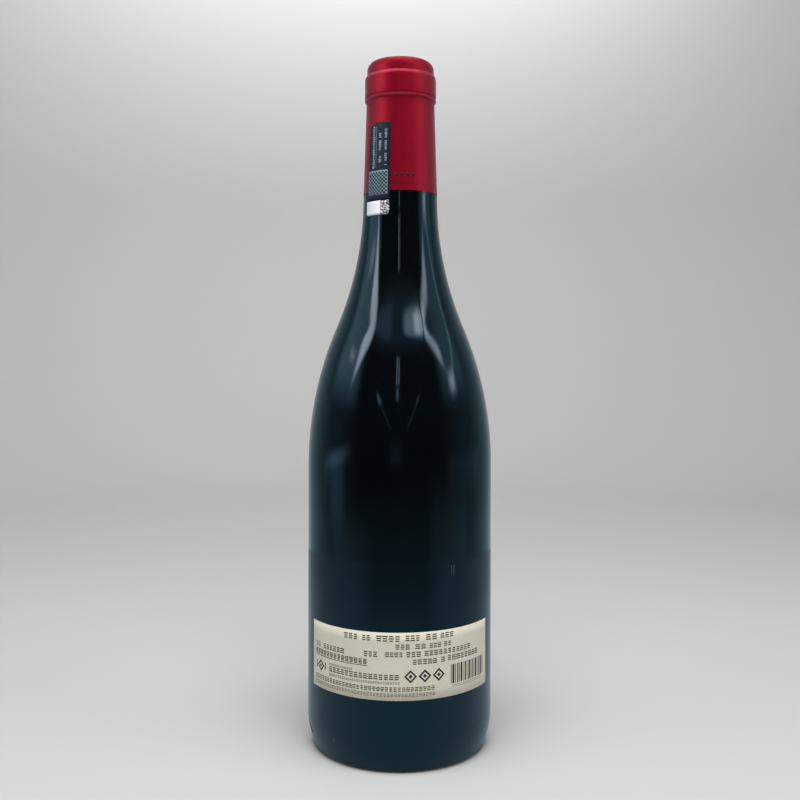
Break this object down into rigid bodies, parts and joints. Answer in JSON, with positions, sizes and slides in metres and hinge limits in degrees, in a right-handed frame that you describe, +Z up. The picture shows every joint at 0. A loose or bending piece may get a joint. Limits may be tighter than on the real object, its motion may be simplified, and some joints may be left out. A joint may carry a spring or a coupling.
{
  "type": "wine bottle",
  "caption": "Full, shut wine bottle of dark glass with sloping shoulders, a red foil capsule over the neck, a paper back label and a film seal strip with a small tag.",
  "frame": {"origin": "middle of the base, on the surface that the bottle stands on", "axes": "+Z up along the bottle's axis, -Y towards the middle of the back label, +X to the right of someone who faces that label"},
  "size_m": [0.082, 0.0825, 0.3035],
  "materials": {
    "dark_glass": "polished, so dark that nothing shows through",
    "red_foil": "satin lacquered foil",
    "cream_paper": "uncoated cream paper with black and brown print",
    "dark_film": "semi-gloss blue-black film with pale print",
    "silver_film": "silvery film, half of it speckled"
  },
  "bodies": {
    "root": {"bottle": "dark_glass", "capsule": "red_foil", "back_label": "cream_paper", "seal_strip": "dark_film", "seal_tag": "silver_film"}
  },
  "joints": []
}
